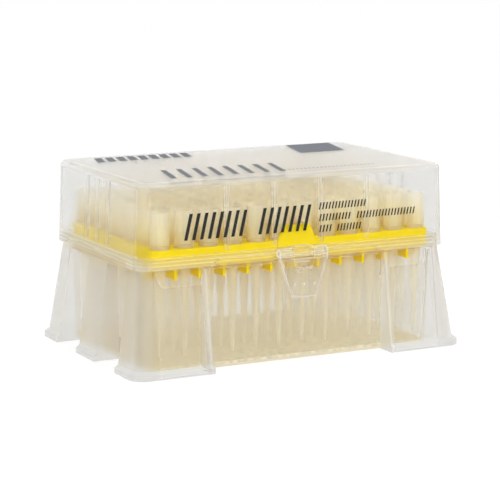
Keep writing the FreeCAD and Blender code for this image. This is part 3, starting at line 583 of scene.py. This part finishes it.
def frosted(name, look, middle, ends, is_end, sheen, trim):
    """Translucent plastic: part clear, part hazy, with some milk in its skin.

    The middle and the ends are Walls, and is_end tells them apart. The trim gives the milk that
    only this piece has.
    """
    f = Finish(name)
    flow = f.noise(WALL_FLOW)
    frost = f.noise(Pattern(look.grain, EVEN, FROST_DETAIL))
    relief = f.bump(frost, FROST_RELIEF)
    at = f.axes()
    # Warm cast of the floor: partly own colour, partly painted glow of the tray.
    in_floor, warm = tub_floor(f, look, at)
    end = is_end(look, at)
    tint = f.blend(warm, f.blend(end, middle.tint, ends.tint), look.floor_tint_and_painted_glow)
    gloss = look.roughness + flow.swing(WALL_GLOSS_SWING) + frost.swing(FROST_GLOSS_SWING)
    clear = f.clear(tint, gloss, look.refraction, relief)
    hazy = f.clear(tint, look.haze_roughness + flow.swing(HAZE_GLOSS_SWING), look.refraction,
                   relief)
    body = f.mix(end * (ends.haze - middle.haze) + middle.haze, clear, hazy)
    milk_colour = f.blend(in_floor, look.milk_colour, look.floor_tint_and_painted_glow)
    milky = f.milky(milk_colour, MILK_ROUGHNESS, look.glow_back, relief)
    graze = f.node("LayerWeight", {"Blend": GRAZE_BLEND}, "Facing").raised(GRAZE_POWER)
    milk = (look.milk * (flow + 0.5) + trim(look, at) + rim_trim(look, at) + graze * sheen
            + warm * look.floor_milk).clamped()
    return f.finished(f.mix(milk, body, milky))


def tray_plastic(look):
    """Opaque coloured plastic with a fine grain."""
    f = Finish("tray_plastic")
    flow = f.noise(TRAY_FLOW)
    relief = f.bump(f.noise(TRAY_GRAIN), TRAY_RELIEF)
    pigment = f.blend(flow, look.pigment, look.shade)
    return f.finished(f.opaque(pigment, look.roughness + flow.swing(TRAY_GLOSS_SWING),
                               TRAY_SPECULAR, relief))


def tip_plastic(look):
    """Milky plastic, warmed near the deck by a painted glow that stands for the tray's colour
    shining into it.
    """
    f = Finish("tip_plastic")
    flow = f.noise(TIP_FLOW)
    # Painted glow: near the deck the tips are tinted warm and made milkier, standing for the
    # tray's yellow light.
    glow = f.axes().z.near(look.deck, look.painted_glow_reach)
    clear = f.clear(f.blend(glow, look.tint, look.painted_glow_tint),
                    look.roughness + flow.swing(TIP_GLOSS_SWING), look.refraction)
    milky = f.milky(f.blend(glow, look.milk_colour, look.painted_glow_milk), TIP_MILK_ROUGHNESS,
                    TIP_GLOW_BACK)
    milk = (look.milk + flow.swing(TIP_MILK_SWING) + glow * look.painted_glow_strength).clamped()
    return f.finished(f.mix(milk, clear, milky))


def filter_felt(look):
    """Porous felt, with painted shade in its pores."""
    f = Finish("filter_felt")
    pores = f.noise(FELT_PORES)
    relief = f.bump(pores, FELT_RELIEF)
    pore_shade = [part * FELT_SHADE for part in look.filter_colour]
    return f.finished(f.opaque(f.blend(pores, pore_shade, look.filter_colour), FELT_ROUGHNESS,
                               relief=relief))


def print_ink(look):
    """Dark ink, greyer on the lid's top as a painted sheen of ink seen at a grazing angle."""
    f = Finish("print_ink")
    cover = f.noise(INK_COVER)
    # Print on top takes the greyer ink, a painted sheen.
    on_top = f.axes().z > LID_HIGH.z - TOP_DEPTH
    front = f.blend(cover, look.ink, [part + INK_FADE for part in look.ink])
    return f.finished(f.opaque(f.blend(on_top, front, look.top_ink_painted_sheen),
                               INK_ROUGHNESS + cover.swing(INK_GLOSS_SWING), INK_SPECULAR))


# ---------------------------------------------------------------- nodes and meshes

def nodes_named(start):
    """Names of the packed nodes that begin so, in order."""
    names = sorted(name for name in NODES if name.startswith(start))
    if not names:
        raise RuntimeError("The frame has no node whose name begins with " + start)
    return names


def dress_node(name, material):
    """Gives a packed node its material."""
    materials = NODES[name].data.materials
    materials.clear()
    materials.append(material)


def new_object(name, bm, material, smooth=True):
    """Writes the bmesh to a new object at the origin."""
    mesh = bpy.data.meshes.new(name)
    bm.to_mesh(mesh)
    bm.free()
    made = bpy.data.objects.new(name, mesh)
    bpy.context.scene.collection.objects.link(made)
    mesh.materials.append(material)
    mesh.polygons.foreach_set("use_smooth", [smooth] * len(mesh.polygons))
    mesh.set_sharp_from_angle(angle=SHARP_ANGLE)
    return made


def column_centres(node):
    """Middle of each tip in a column, and the collar's radius, from the packed node."""
    low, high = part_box(node)
    radius = (high.x - low.x) / 2
    middle = (high.x + low.x) / 2
    first = low.y + radius
    pitch = (high.y - low.y - 2 * radius) / (ROWS - 1)
    return [Vector((middle, first + pitch * row, 0.0)) for row in range(ROWS)], radius


# ---------------------------------------------------------------- operators

class TIPBOX_OT_base(bpy.types.Operator):
    """Frosted plastic on the base, hazier in its hollow feet"""
    bl_idname = "tipbox.base"
    bl_label = "Base"
    bl_options = {"REGISTER", "UNDO"}

    def execute(self, context):
        look = context.scene.tipbox_shell
        tub = Wall(look.tub_tint, look.tub_haze)
        feet = Wall(look.feet_tint, look.feet_haze)
        dress_node("base", frosted("frosted_base", look, tub, feet, in_feet, look.sheen,
                                   foot_trim))
        return {"FINISHED"}


class TIPBOX_OT_lid(bpy.types.Operator):
    """Frosted plastic on the lid, hazier in its rounded edges"""
    bl_idname = "tipbox.lid"
    bl_label = "Lid"
    bl_options = {"REGISTER", "UNDO"}

    def execute(self, context):
        look = context.scene.tipbox_shell
        flat = Wall(look.tint, look.haze)
        edge = Wall(look.tint, look.edge_haze)
        dress_node("lid", frosted("frosted_lid", look, flat, edge, at_lid_edges, look.sheen,
                                  lid_trim))
        return {"FINISHED"}


class TIPBOX_OT_latch(bpy.types.Operator):
    """Frosted plastic on the latch, paler along its edges and studs, partly as painted highlights
    """
    bl_idname = "tipbox.latch"
    bl_label = "Latch"
    bl_options = {"REGISTER", "UNDO"}

    def execute(self, context):
        look = context.scene.tipbox_shell
        flap = Wall(look.tint, look.latch_haze)
        dress_node("latch", frosted("frosted_latch", look, flap, flap, in_feet,
                                    look.latch_sheen, latch_trim))
        return {"FINISHED"}


class TIPBOX_OT_tray(bpy.types.Operator):
    """Coloured plastic on the tray that the tips hang from"""
    bl_idname = "tipbox.tray"
    bl_label = "Tip tray"
    bl_options = {"REGISTER", "UNDO"}

    def execute(self, context):
        dress_node("tip_tray", tray_plastic(context.scene.tipbox_tray))
        return {"FINISHED"}


class TIPBOX_OT_tips(bpy.types.Operator):
    """Smooth hollow tips with finned heads, eight to a column"""
    bl_idname = "tipbox.tips"
    bl_label = "Pipette tips"
    bl_options = {"REGISTER", "UNDO"}

    def profile(self, look, collar, deck, low):
        """Radius and height of each ring, up the outside and down the bore."""
        mouth_z = deck + look.head_height
        collar_z = deck + look.collar_height
        waist_z = deck - look.waist_drop
        mouth, neck, waist, wall = look.mouth / 2, look.neck / 2, look.waist / 2, look.wall
        lip = wall / 2
        return [
            (look.point / 2, low), (waist, waist_z), (neck, deck - CORNER_CUT),
            (neck, deck), (collar - CORNER_CUT, deck), (collar, deck + CORNER_CUT),
            (collar, collar_z - CORNER_CUT), (collar - CORNER_CUT * 2, collar_z),
            (mouth, mouth_z - lip), (mouth - lip / 2, mouth_z),
            (mouth - wall + lip / 4, mouth_z), (mouth - wall, mouth_z - lip),
            (neck - wall, deck), (waist - wall, waist_z), (look.orifice / 2, low)]

    def fins(self, bm, look, centre, low, high):
        """Raises fins on the outside of the head, between two heights."""
        mid_wall = (look.mouth - look.wall) / 2
        chosen = []
        for face in bm.faces:
            off = face.calc_center_median() - centre
            if low < off.z < high and math.hypot(off.x, off.y) > mid_wall:
                turn = math.atan2(off.y, off.x) % math.tau
                if int(turn / math.tau * look.sides) % FACETS_PER_FIN == 0:
                    chosen.append(face)
        bmesh.ops.inset_individual(bm, faces=chosen, thickness=FIN_TAPER,
                                   depth=look.fin_depth, use_even_offset=True)

    def tip_mesh(self, look, centre, rings):
        """One tip, spun from its profile, with fins on its head."""
        bm = bmesh.new()
        points = [bm.verts.new((centre.x + radius, centre.y, height)) for radius, height in rings]
        edges = [bm.edges.new(pair) for pair in zip(points, points[1:] + points[:1])]
        bmesh.ops.spin(bm, geom=points + edges, cent=centre, axis=(0.0, 0.0, 1.0),
                       angle=math.tau, steps=look.sides, use_merge=True)
        bmesh.ops.remove_doubles(bm, verts=bm.verts, dist=WELD_DISTANCE)
        bmesh.ops.recalc_face_normals(bm, faces=bm.faces)
        self.fins(bm, look, centre, rings[RING_HEAD_LOW][1], rings[RING_HEAD_HIGH][1])
        return bm

    def execute(self, context):
        look = context.scene.tipbox_tips
        plastic = tip_plastic(look)
        for number, node in enumerate(nodes_named("tips_column"), start=1):
            centres, collar = column_centres(node)
            low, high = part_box(node)
            rings = self.profile(look, collar, high.z - look.head_height, low.z)
            bm = self.tip_mesh(look, centres[0], rings)
            first = list(bm.verts) + list(bm.edges) + list(bm.faces)
            for centre in centres[1:]:
                copy = bmesh.ops.duplicate(bm, geom=first)
                moved = [part for part in copy["geom"] if isinstance(part, bmesh.types.BMVert)]
                bmesh.ops.translate(bm, verts=moved, vec=centre - centres[0])
            tips = new_object("tip_set_%02d" % number, bm, plastic)
            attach(tips, "base")
            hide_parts(node)
        return {"FINISHED"}


class TIPBOX_OT_filters(bpy.types.Operator):
    """Felt on the porous filters pressed into the tips"""
    bl_idname = "tipbox.filters"
    bl_label = "Filters"
    bl_options = {"REGISTER", "UNDO"}

    def execute(self, context):
        felt = filter_felt(context.scene.tipbox_tips)
        for node in nodes_named("filters_column"):
            dress_node(node, felt)
        return {"FINISHED"}


class TIPBOX_OT_print(bpy.types.Operator):
    """Plain bars printed on the front and the top of the lid"""
    bl_idname = "tipbox.print"
    bl_label = "Print"
    bl_options = {"REGISTER", "UNDO"}

    def stroke(self, bm, look, across, along):
        """One upright plate of ink, flat in X and Z, leaning to the right."""
        width, height = across[1] - across[0], along[1] - along[0]
        verts = bmesh.ops.create_cube(bm, size=1.0)["verts"]
        bmesh.ops.scale(bm, verts=verts, vec=(width * MM, look.thickness, height * MM))
        upper = [vert for vert in verts if vert.co.z > 0.0]
        bmesh.ops.translate(bm, verts=upper, vec=(math.tan(look.slant) * height * MM, 0.0, 0.0))
        bmesh.ops.translate(bm, verts=verts, vec=(sum(across) / 2 * MM, 0.0, sum(along) / 2 * MM))

    def front_wall(self):
        """A point on the outside of the lid's front wall."""
        eye = Vector((FRONT_SPOT[0], -1.0, FRONT_SPOT[1]))
        found, point = NODES["lid"].ray_cast(eye, Vector((0.0, 1.0, 0.0)))[:2]
        if not found:
            raise RuntimeError("The lid has no front wall to print on")
        return point

    def execute(self, context):
        look = context.scene.tipbox_print
        ink = print_ink(look)
        lean = math.atan2(look.wall_lean, LID_HIGH.z - LID_LOW.z)
        wall = self.front_wall()
        stand_off = look.thickness / 2 + INK_GAP
        sunk = look.thickness / 2 - INK_SHOWS
        # For each face: the strokes' turn, the point that they turn about, and their move.
        places = {
            "front": (Matrix.Rotation(-lean, 3, "X"), (0.0, 0.0, wall.z),
                      (0.0, wall.y - stand_off, 0.0)),
            "top": (Matrix.Rotation(-math.pi / 2, 3, "X"), (0.0, 0.0, 0.0),
                    (0.0, 0.0, LID_HIGH.z - sunk)),
        }
        for name, face, strokes in PRINT:
            bm = bmesh.new()
            for across, along in strokes:
                self.stroke(bm, look, across, along)
            turn, about, shift = places[face]
            bmesh.ops.rotate(bm, verts=bm.verts, cent=about, matrix=turn)
            bmesh.ops.translate(bm, verts=bm.verts, vec=shift)
            made = new_object(name, bm, ink, smooth=False)
            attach(made, "lid")
        return {"FINISHED"}


class TIPBOX_OT_stage(bpy.types.Operator):
    """White floor, soft light and the camera"""
    bl_idname = "tipbox.stage"
    bl_label = "Studio"
    bl_options = {"REGISTER", "UNDO"}

    def sight(self, tree):
        """1 where the camera looks straight at a surface, and 1 where gloss or plastic does."""
        path = tree.nodes.new("ShaderNodeLightPath")
        camera, glossy, through = (Wire(tree, path.outputs[name]) for name in (
            "Is Camera Ray", "Is Glossy Ray", "Is Transmission Ray"))
        return camera, (glossy + through).clamped()

    def stand(self, name, data, place, direction):
        """Puts a lamp or a camera at a place and turns it to look along a direction."""
        made = bpy.data.objects.new(name, data)
        bpy.context.scene.collection.objects.link(made)
        made.location = place
        made.rotation_mode = "QUATERNION"
        made.rotation_quaternion = direction.to_track_quat("-Z", "Y")
        return made

    def room(self, look):
        """Light from all sides, white to the camera and dimmer in gloss and plastic."""
        world = bpy.data.worlds.new("studio_room")
        bpy.context.scene.world = world
        world.use_nodes = True
        tree = world.node_tree
        background = tree.nodes["Background"]
        background.inputs["Color"].default_value = (*WHITE, 1.0)
        straight, around = self.sight(tree)
        strength = (straight * (1.0 - look.ambient) + around * (look.backdrop - look.ambient)
                    + look.ambient)
        tree.links.new(strength.socket, background.inputs["Strength"])

    def floor(self, look):
        """White floor that keeps a faint shadow."""
        bm = bmesh.new()
        bmesh.ops.create_grid(bm, x_segments=1, y_segments=1, size=FLOOR_REACH)
        f = Finish("studio_floor")
        paper = f.node("BsdfDiffuse", {"Color": PAPER})
        straight, around = self.sight(f.tree)
        glow = f.node("Emission", {
            "Color": f.blend(straight, [look.backdrop] * 3, WHITE), "Strength": 1.0})
        white = (straight + around).clamped() * (1.0 - look.shadow)
        floor = new_object("studio_floor", bm, f.finished(f.mix(white, paper, glow)),
                           smooth=False)

    def softbox(self, name, place, watts):
        """A square lamp aimed at the middle of the box."""
        lamp = bpy.data.lights.new(name, "AREA")
        lamp.shape = "SQUARE"
        lamp.size = SOFTBOX_SIZE
        lamp.energy = watts
        self.stand(name, lamp, place, Vector(SOFTBOX_AIM) - Vector(place))

    def camera(self, look):
        """The camera that the scene is seen through."""
        turn, rise = look.azimuth, look.elevation
        back = Vector((math.sin(turn) * math.cos(rise), -math.cos(turn) * math.cos(rise),
                       math.sin(rise)))
        lens = bpy.data.cameras.new("studio_camera")
        lens.sensor_width = SENSOR_WIDTH
        lens.lens = look.focal_length
        lens.clip_start = CLIP_START
        lens.clip_end = CLIP_END
        place = Vector(look.aim) + back * look.distance
        bpy.context.scene.camera = self.stand("studio_camera", lens, place, -back)

    def execute(self, context):
        look = context.scene.tipbox_stage
        context.scene.view_settings.view_transform = "Standard"
        cycles = context.scene.cycles
        cycles.max_bounces = CLEAR_BOUNCES
        cycles.transmission_bounces = CLEAR_BOUNCES
        cycles.transparent_max_bounces = CLEAR_BOUNCES
        cycles.glossy_bounces = OTHER_BOUNCES
        cycles.diffuse_bounces = OTHER_BOUNCES
        cycles.blur_glossy = 0.0
        self.room(look)
        self.floor(look)
        self.softbox("overhead_softbox", OVERHEAD_PLACE, look.overhead)
        self.softbox("front_softbox", FRONT_PLACE, look.front)
        self.camera(look)
        return {"FINISHED"}


OPERATORS = (TIPBOX_OT_base, TIPBOX_OT_lid, TIPBOX_OT_latch, TIPBOX_OT_tray, TIPBOX_OT_tips,
             TIPBOX_OT_filters, TIPBOX_OT_print, TIPBOX_OT_stage)


class TIPBOX_PT_panel(bpy.types.Panel):
    """Lists the steps that finish the box"""
    bl_idname = "TIPBOX_PT_panel"
    bl_label = "Tip Box"
    bl_space_type = "VIEW_3D"
    bl_region_type = "UI"
    bl_category = "Tip Box"

    def draw(self, context):
        for operator in OPERATORS:
            self.layout.operator(operator.bl_idname)
        for name, group in LOOKS.items():
            look = getattr(context.scene, name)
            box = self.layout.box()
            box.label(text=group.__doc__)
            for key in group.__annotations__:
                box.prop(look, key)


def register():
    """Registers the looks, the operators and the panel."""
    for name, group in LOOKS.items():
        bpy.utils.register_class(group)
        setattr(bpy.types.Scene, name, bpy.props.PointerProperty(type=group))
    for item in (*OPERATORS, TIPBOX_PT_panel):
        bpy.utils.register_class(item)


def unregister():
    """Takes them away again, in the opposite order."""
    for item in reversed((*OPERATORS, TIPBOX_PT_panel)):
        bpy.utils.unregister_class(item)
    for name, group in reversed(LOOKS.items()):
        delattr(bpy.types.Scene, name)
        bpy.utils.unregister_class(group)


def main():
    """Finishes the box step by step."""
    register()
    for item in list(bpy.data.objects):
        if item.name in ("Cube", "Light", "Camera"):
            bpy.data.objects.remove(item)
    for operator in OPERATORS:
        space, name = operator.bl_idname.split(".")
        getattr(getattr(bpy.ops, space), name)()


if __name__ == "__main__":
    main()
